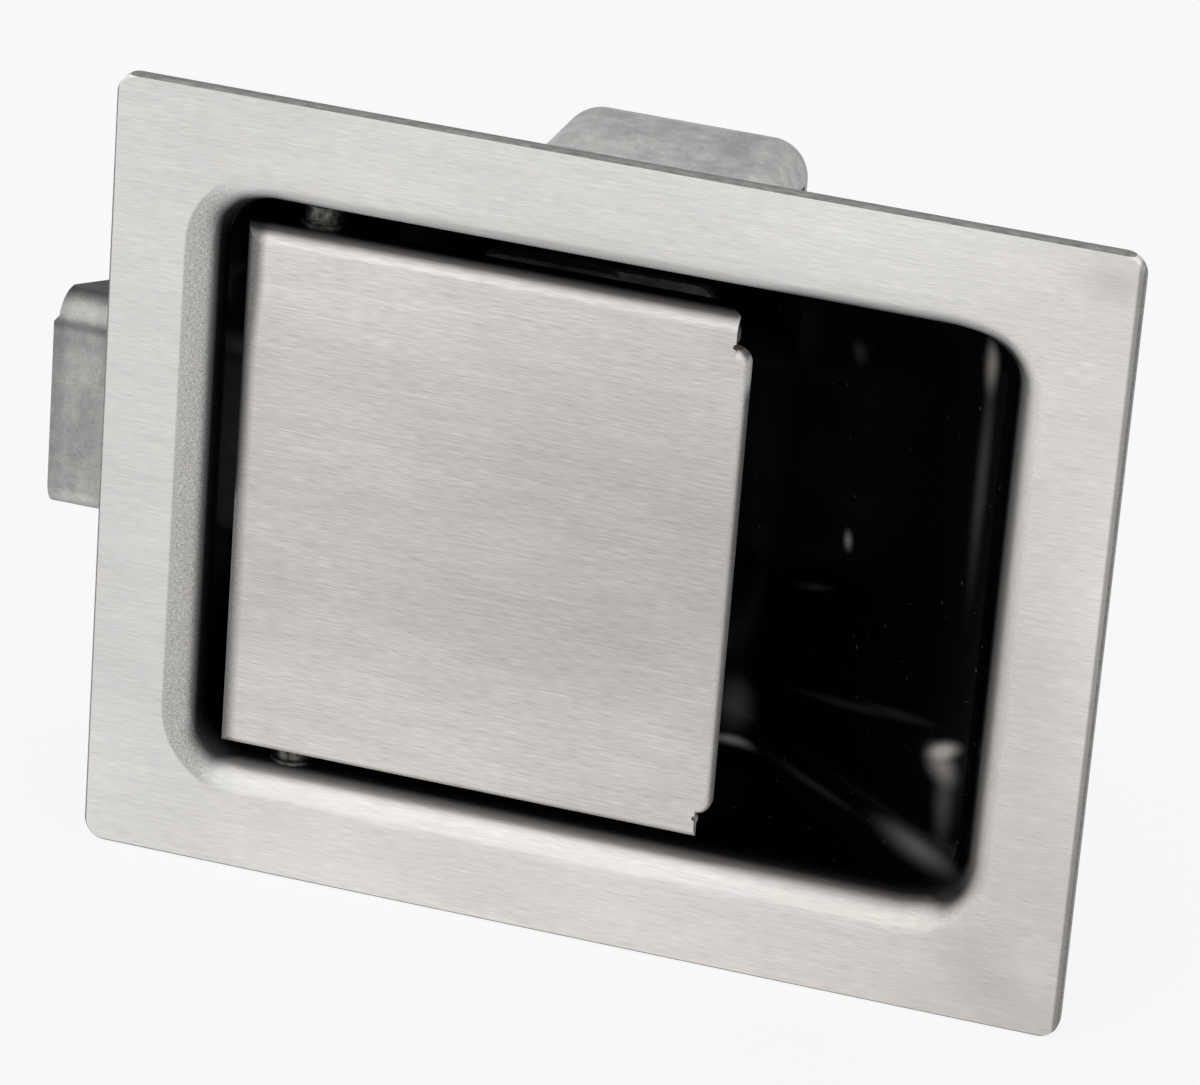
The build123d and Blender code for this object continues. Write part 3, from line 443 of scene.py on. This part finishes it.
def mottled_zinc(tree, place, colours, sizes):
    """Colour, roughness and bump of tumbled galvanised sheet: dull mottle with dark pits."""
    mottle = grain(tree, place, sizes.spangle, 4.0)
    streak = grain(tree, place, sizes.spangle * 1.4, 2.0, (1, 1, 3.5), (2, 9, 4))
    fine = grain(tree, place, sizes.spangle / 7, 2.0)
    pits = flecks(tree, place, sizes.spangle / 3, 1.0, (0.74, 0.80), offset=(7, 3, 1))
    zinc = shade(tree, colours.galvanised, (mottle, 0.62, 1.38), (streak, 0.7, 1.3), (fine, 0.75, 1.25))
    dark = add(tree, "Math", {0: pits, 1: 0.75}, operation="MULTIPLY")
    zinc = add(tree, "Mix", {0: dark, 6: zinc, 7: colours.cut_edge}, output=2, data_type="RGBA")
    rough = add(tree, "MapRange", {"Value": mottle, "To Min": 0.42, "To Max": 0.66})
    relief = add(tree, "Math", {0: fine, 1: pits}, operation="SUBTRACT")
    bump = add(tree, "Bump", {"Height": relief, "Strength": 0.2, "Distance": 0.08 * MM})
    return zinc, rough, bump


def tumbled_galvanised_steel(colours, sizes):
    """Galvanised sheet tumbled dull: matt grey mottle with small dark pits."""
    material, tree, place = start_material("tumbled_galvanised_steel")
    at = measure(tree, place)
    zinc, rough, bump = mottled_zinc(tree, place, colours, sizes)
    zinc = shade(
        tree,
        zinc,
        (soft_mark(tree, at, (7.5, 47), (6, 9), 20), 1.0, 0.86),
        (zone(tree, at, X=(10, 14)), 1.0, 1.05),
        (zone(tree, at, Y=(34, 18)), 1.02, 1.20),
    )
    close_material(tree, zinc, rough, bump)
    return material


def galvanised_bolt_painted_light(colours, sizes):
    """Galvanised bolt: the same zinc, with painted highlights on its folds and painted shade on its upper
    part and its legs.
    """
    material, tree, place = start_material("galvanised_bolt_painted_light")
    at = measure(tree, place)
    zinc, rough, bump = mottled_zinc(tree, place, colours, sizes)
    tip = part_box("slam_bolt")[0].x / MM
    # lighter all over but at its tip; painted shade towards its top, painted highlights on its folds, and
    # painted shade under the upper fold and on the legs' outer faces deeper in
    zinc = shade(
        tree,
        zinc,
        (zone(tree, at, X=(tip + 2.6, tip + 1.0)), 1.18, 0.95),
        (zone(tree, at, Z=(4, 11)), 1.0, 0.84),
        (zone(tree, at, height=(12.4, 13.6, 15.6, 14.2)), 1.0, 1.25),
        (zone(tree, at, height=(10.8, 12.0, 13.2, 12.2), Z=(0, 2)), 1.0, 0.62),
        (zone(tree, at, Y=(13.5, 16.5), height=(14.6, 15.8)), 1.0, 0.2),
    )
    close_material(tree, zinc, rough, bump)
    return material


def bright_zinc_plate(colours, sizes):
    """Electroplated zinc: bright and slightly cloudy."""
    material, tree, place = start_material("bright_zinc_plate")
    cloud = grain(tree, place, 1.5 * MM, 4.0)
    turned = grain(tree, place, 0.25 * MM, 2.0)
    zinc = shade(tree, colours.plate, (cloud, 0.8, 1.2))
    rough = add(tree, "MapRange", {"Value": cloud, "To Min": 0.22, "To Max": 0.42})
    bump = add(tree, "Bump", {"Height": turned, "Strength": 0.1, "Distance": 0.03 * MM})
    close_material(tree, zinc, rough, bump)
    return material


def shaded_turned_steel(colours, sizes):
    """Turned steel sleeve in painted shade, its colour kept dark: fine rings round it and a strong mottle."""
    material, tree, place = start_material("shaded_turned_steel")
    cloud = grain(tree, place, 0.9 * MM, 4.0)
    rings = grain(tree, place, 0.16 * MM, 1.0, (30, 30, 1))
    dark = shade(tree, colours.shaded_sleeve, (cloud, -0.8, 2.8), (rings, 0.7, 1.3))
    rough = add(tree, "MapRange", {"Value": cloud, "To Min": 0.3, "To Max": 0.5})
    bump = add(tree, "Bump", {"Height": rings, "Strength": 0.2, "Distance": 0.03 * MM})
    close_material(tree, dark, rough, bump)
    return material


def drawn_spring_wire(colours, sizes):
    """Drawn spring steel: dark grey with an oily sheen."""
    material, tree, place = start_material("drawn_spring_wire")
    cloud = grain(tree, place, 0.8 * MM, 3.0)
    wire = shade(tree, colours.wire, (cloud, 0.75, 1.25))
    rough = add(tree, "MapRange", {"Value": cloud, "To Min": 0.25, "To Max": 0.4})
    bump = add(tree, "Bump", {"Height": cloud, "Strength": 0.08, "Distance": 0.03 * MM})
    close_material(tree, wire, rough, bump)
    return material


def black_sheet_rubber(colours, sizes):
    """Calendered rubber: matt black with a fine grain."""
    material, tree, place = start_material("black_sheet_rubber")
    fine = grain(tree, place, 0.4 * MM, 4.0)
    rubber = shade(tree, colours.rubber, (fine, 0.7, 1.5))
    rough = add(tree, "MapRange", {"Value": fine, "To Min": 0.6, "To Max": 0.85})
    bump = add(tree, "Bump", {"Height": fine, "Strength": 0.3, "Distance": 0.08 * MM})
    close_material(tree, rubber, rough, bump, metallic=0.0)
    return material


# ---------------------------------------------------------------- pieces
def dress(context, finish, *nodes):
    """Make a finish from the scene's colours and sizes and give it to CAD nodes."""
    material = finish(context.scene.latch_colours, context.scene.latch_sizes)
    for node in nodes:
        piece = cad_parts[node]
        piece.data.materials.clear()
        piece.data.materials.append(material)
    return {"FINISHED"}


def deselect():
    if bpy.context.object and bpy.context.object.mode != "OBJECT":
        bpy.ops.object.mode_set(mode="OBJECT")
    bpy.ops.object.select_all(action="DESELECT")


def edit_select(piece, wanted):
    """Enter edit mode with only the wanted vertices selected."""
    bpy.ops.object.mode_set(mode="EDIT")
    bpy.ops.mesh.select_mode(type="VERT")
    bpy.ops.mesh.select_all(action="DESELECT")
    mesh = bmesh.from_edit_mesh(piece.data)
    for vertex in mesh.verts:
        vertex.select = wanted(vertex)
    mesh.select_flush(True)
    bmesh.update_edit_mesh(piece.data)


def settle(piece):
    """Put the piece's place into its mesh, with its origin at the world's."""
    deselect()
    piece.select_set(True)
    bpy.context.view_layer.objects.active = piece
    bpy.ops.object.transform_apply(location=True, rotation=True, scale=True)


def wind(piece, axis, pitch, turns, steps=36):
    """Turn the open section into a thread with the Screw modifier."""
    screw = piece.modifiers.new("wind", "SCREW")
    screw.axis = axis
    screw.angle = math.tau * turns
    screw.screw_offset = pitch * turns
    screw.steps = screw.render_steps = round(steps * turns)
    screw.use_merge_vertices = False
    bpy.ops.object.modifier_apply(modifier=screw.name)


def cut_thread(name, pitch, depth, radius, middle, bottom, top):
    """Threaded rod along Y, drawn in at its top end and sunk a little below its bottom."""
    # one pitch of a 60 degree thread: two sides of a triangle, point outwards
    start = bottom - 2 * pitch
    corner = pitch / math.sqrt(3)
    deselect()
    bpy.ops.mesh.primitive_circle_add(
        vertices=3,
        radius=corner,
        fill_type="NOTHING",
        location=(middle.x, start, middle.z),
        rotation=(0, 0, -math.pi / 2),
    )
    rod = bpy.context.object
    rod.name = name
    bpy.ops.object.transform_apply(location=False, rotation=True, scale=False)
    edit_select(rod, lambda vertex: vertex.co.x < 0)
    bpy.ops.mesh.select_mode(type="EDGE")
    bpy.ops.mesh.delete(type="EDGE")
    bpy.ops.mesh.select_all(action="SELECT")
    flatten = depth / (pitch * math.sqrt(3) / 2)
    bpy.ops.transform.resize(value=(flatten, 1, 1), center_override=(middle.x, start, middle.z))
    bpy.ops.transform.translate(value=(radius - flatten * corner, 0, 0))
    bpy.ops.object.mode_set(mode="OBJECT")
    wind(rod, "Y", pitch, math.ceil((top - start) / pitch) + 2)
    settle(rod)

    bpy.ops.object.mode_set(mode="EDIT")
    bpy.ops.mesh.select_all(action="SELECT")
    bpy.ops.mesh.remove_doubles(threshold=0.004 * MM)
    for height, outward in ((bottom - WELD_OVERLAP, -1), (top, 1)):
        bpy.ops.mesh.select_all(action="SELECT")
        bpy.ops.mesh.bisect(
            plane_co=(0, height, 0),
            plane_no=(0, outward, 0),
            use_fill=True,
            clear_outer=True,
            threshold=0.001 * MM,
        )
    tip_share = 0.82
    edit_select(rod, lambda vertex: vertex.co.y > top - 0.5 * pitch)
    bpy.ops.transform.resize(
        value=(tip_share, 1, tip_share), center_override=(middle.x, top, middle.z)
    )
    bpy.ops.mesh.select_all(action="SELECT")
    bpy.ops.mesh.normals_make_consistent(inside=False)
    bpy.ops.object.mode_set(mode="OBJECT")
    return rod


class LATCH_OT_pan(Operator):
    """Finish the pan with its brushed flange and black recess"""

    bl_idname = "latch.pan"
    bl_label = "Pan"

    def execute(self, context):
        return dress(context, brushed_pan_steel, "pan")


class LATCH_OT_paddle(Operator):
    """Finish the brushed paddle"""

    bl_idname = "latch.paddle"
    bl_label = "Paddle"

    def execute(self, context):
        return dress(context, brushed_paddle_steel, "paddle")


class LATCH_OT_galvanised_sheet(Operator):
    """Finish the clamp strap and the bolt's guides"""

    bl_idname = "latch.galvanised_sheet"
    bl_label = "Clamp strap and bolt guides"

    def execute(self, context):
        nodes = ("clamp_bracket", "bolt_guide_plate", "bolt_guide_bridge")
        return dress(context, tumbled_galvanised_steel, *nodes)


class LATCH_OT_slam_bolt(Operator):
    """Finish the folded slam bolt"""

    bl_idname = "latch.slam_bolt"
    bl_label = "Slam bolt"

    def execute(self, context):
        return dress(context, galvanised_bolt_painted_light, "slam_bolt")


class LATCH_OT_plated_pieces(Operator):
    """Finish the pins, rods, rivets and clamp hardware"""

    bl_idname = "latch.plated_pieces"
    bl_label = "Plated pins and hardware"

    def execute(self, context):
        pins = ("pivot_pin", "throw_bar", "guide_rivets", "upper_guide_rod", "lower_guide_rod")
        hardware = ("clamp_stud", "clamp_flat_washer", "clamp_lock_washer", "clamp_nut")
        return dress(context, bright_zinc_plate, *pins, *hardware)


class LATCH_OT_pivot_sleeves(Operator):
    """Finish the sleeves and washers on the pivot pin"""

    bl_idname = "latch.pivot_sleeves"
    bl_label = "Pivot sleeves and washers"

    def execute(self, context):
        upper = ("upper_pivot_washer", "upper_pivot_spacer")
        lower = ("lower_pivot_washer", "lower_pivot_spacer")
        return dress(context, shaded_turned_steel, *upper, *lower)


class LATCH_OT_springs(Operator):
    """Finish the springs and the spring steel clips"""

    bl_idname = "latch.springs"
    bl_label = "Springs and clips"

    def execute(self, context):
        clips = ("pivot_pin_clips", "throw_bar_clips")
        springs = ("paddle_spring", "upper_bolt_spring", "lower_bolt_spring")
        return dress(context, drawn_spring_wire, *clips, *springs)


class LATCH_OT_rubber_pieces(Operator):
    """Finish the gasket and the bumpers"""

    bl_idname = "latch.rubber_pieces"
    bl_label = "Gasket and bumpers"

    def execute(self, context):
        return dress(context, black_sheet_rubber, "bolt_stop_bumpers", "flange_gasket")


class LATCH_OT_clamp_stud(Operator):
    """Make the threaded weld stud that carries the clamp nut"""

    bl_idname = "latch.clamp_stud"
    bl_label = "Threaded clamp stud"

    def execute(self, context):
        sizes = context.scene.latch_sizes
        low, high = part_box("clamp_stud")
        middle = (low + high) / 2
        base_top = low.y + sizes.stud_base
        base_round = 0.3 * MM
        stud = cut_thread(
            "clamp_stud_thread",
            sizes.thread_pitch,
            sizes.thread_depth,
            sizes.thread_diameter / 2,
            middle,
            base_top,
            high.y,
        )

        # low round base that is welded to the pan
        deselect()
        bpy.ops.mesh.primitive_cylinder_add(
            vertices=64,
            radius=(high.x - low.x) / 2,
            depth=sizes.stud_base,
            location=(middle.x, low.y + sizes.stud_base / 2, middle.z),
            rotation=(math.pi / 2, 0, 0),
        )
        base = context.object
        settle(base)
        edit_select(base, lambda vertex: vertex.co.y > base_top - 0.1 * MM)
        bpy.ops.mesh.bevel(offset=base_round, segments=3, affect="EDGES")
        bpy.ops.object.mode_set(mode="OBJECT")
        deselect()
        base.select_set(True)
        stud.select_set(True)
        context.view_layer.objects.active = stud
        bpy.ops.object.join()
        bpy.ops.object.shade_smooth_by_angle(angle=math.radians(35))

        stud.data.materials.append(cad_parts["clamp_nut"].data.materials[0])
        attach(stud, "latch_pan")
        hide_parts("clamp_stud")
        return {"FINISHED"}


# ---------------------------------------------------------------- stage
def seen_itself(tree):
    """1 where the camera sees the surface, also in gloss or through glass, and 0 for light."""
    path = add(tree, "LightPath", output=None).outputs
    seen = path["Is Camera Ray"]
    for ray in ("Is Glossy Ray", "Is Transmission Ray"):
        seen = add(tree, "Math", {0: seen, 1: path[ray]}, operation="MAXIMUM")
    return seen


def pale_floor(colours):
    """Matt white floor that takes the latch's shadow and otherwise looks white."""
    material = bpy.data.materials.new("pale_floor")
    material.use_nodes = True
    tree = material.node_tree
    tree.nodes.clear()
    matt = add(tree, "BsdfDiffuse", {"Color": tuple(colours.floor)})
    white = add(tree, "Emission", {"Color": (1, 1, 1, 1), "Strength": 1.0})
    share = {0: seen_itself(tree), 1: FLOOR_WHITENESS}
    share = add(tree, "Math", share, operation="MULTIPLY")
    surface = add(tree, "MixShader", {0: share, 1: matt, 2: white})
    add(tree, "OutputMaterial", {"Surface": surface}, output=None)
    return material


def studio_world():
    """Plain white world, dimmer as light than as background."""
    world = bpy.data.worlds.new("studio")
    world.use_nodes = True
    tree = world.node_tree
    tree.nodes.clear()
    strength = add(tree, "Mix", {0: seen_itself(tree), 2: WORLD_LIGHT, 3: 1.0})
    background = add(tree, "Background", {"Color": (1, 1, 1, 1), "Strength": strength})
    add(tree, "OutputWorld", {"Surface": background}, output=None)
    return world


def camera_turn():
    """Rotation of a camera that looks along its azimuth and elevation, then rolls."""
    azimuth, elevation, roll = map(math.radians, (CAMERA_AZIMUTH, CAMERA_ELEVATION, CAMERA_ROLL))
    level = math.cos(elevation)
    back = Vector((math.sin(azimuth) * level, -math.cos(azimuth) * level, math.sin(elevation)))
    right = Vector((math.cos(azimuth), math.sin(azimuth), 0))
    up = back.cross(right)
    rolled_right = right * math.cos(roll) + up * math.sin(roll)
    rolled_up = up * math.cos(roll) - right * math.sin(roll)
    return Matrix((rolled_right, rolled_up, back)).transposed().to_quaternion()


class LATCH_OT_stage(Operator):
    """Set the floor, the soft studio light and the camera"""

    bl_idname = "latch.stage"
    bl_label = "Set the stage"

    def execute(self, context):
        scene = context.scene
        low, high = CAD_BOX
        deselect()
        bpy.ops.mesh.primitive_plane_add(
            size=scene.latch_sizes.floor_size, location=(0, 0, low.z - FLOOR_GAP)
        )
        floor = context.object
        floor.name = "floor"
        settle(floor)
        floor.data.materials.append(pale_floor(scene.latch_colours))
        scene.world = studio_world()

        for name, place, size, power in LAMPS:
            deselect()
            bpy.ops.object.light_add(type="AREA", location=place)
            lamp = context.object
            lamp.name = name
            lamp.data.shape = "SQUARE"
            lamp.data.size = size
            lamp.data.energy = power
            lamp.rotation_mode = "QUATERNION"
            lamp.rotation_quaternion = (-Vector(place)).to_track_quat("-Z", "Y")

        bpy.ops.object.camera_add(location=CAMERA_PLACE)
        camera = context.object
        camera.name = "camera"
        camera.rotation_mode = "QUATERNION"
        camera.rotation_quaternion = camera_turn()
        camera.data.lens = CAMERA_LENS
        camera.data.sensor_width = 36.0
        camera.data.clip_start, camera.data.clip_end = 0.05, 20
        scene.camera = camera
        scene.view_settings.view_transform = "Standard"
        return {"FINISHED"}


class LATCH_PT_panel(Panel):
    """Sizes, colours and operators of the latch"""

    bl_idname = "LATCH_PT_panel"
    bl_label = "Flush paddle latch"
    bl_space_type = "VIEW_3D"
    bl_region_type = "UI"
    bl_category = "Latch"

    def draw(self, context):
        for group in (context.scene.latch_sizes, context.scene.latch_colours):
            for name in group.bl_rna.properties.keys():
                if name not in {"rna_type", "name"}:
                    self.layout.prop(group, name)
        for operator in OPERATORS:
            self.layout.operator(operator.bl_idname)


OPERATORS = (
    LATCH_OT_pan,
    LATCH_OT_paddle,
    LATCH_OT_galvanised_sheet,
    LATCH_OT_slam_bolt,
    LATCH_OT_plated_pieces,
    LATCH_OT_pivot_sleeves,
    LATCH_OT_springs,
    LATCH_OT_rubber_pieces,
    LATCH_OT_clamp_stud,
    LATCH_OT_stage,
)
CLASSES = (LatchColours, LatchSizes, *OPERATORS, LATCH_PT_panel)


def register():
    for entry in CLASSES:
        bpy.utils.register_class(entry)
    bpy.types.Scene.latch_colours = PointerProperty(type=LatchColours)
    bpy.types.Scene.latch_sizes = PointerProperty(type=LatchSizes)


def unregister():
    del bpy.types.Scene.latch_sizes
    del bpy.types.Scene.latch_colours
    for entry in reversed(CLASSES):
        bpy.utils.unregister_class(entry)


def main():
    register()
    bpy.ops.latch.pan()
    bpy.ops.latch.paddle()
    bpy.ops.latch.galvanised_sheet()
    bpy.ops.latch.slam_bolt()
    bpy.ops.latch.plated_pieces()
    bpy.ops.latch.pivot_sleeves()
    bpy.ops.latch.springs()
    bpy.ops.latch.rubber_pieces()
    bpy.ops.latch.clamp_stud()
    bpy.ops.latch.stage()


if __name__ == "__main__":
    main()
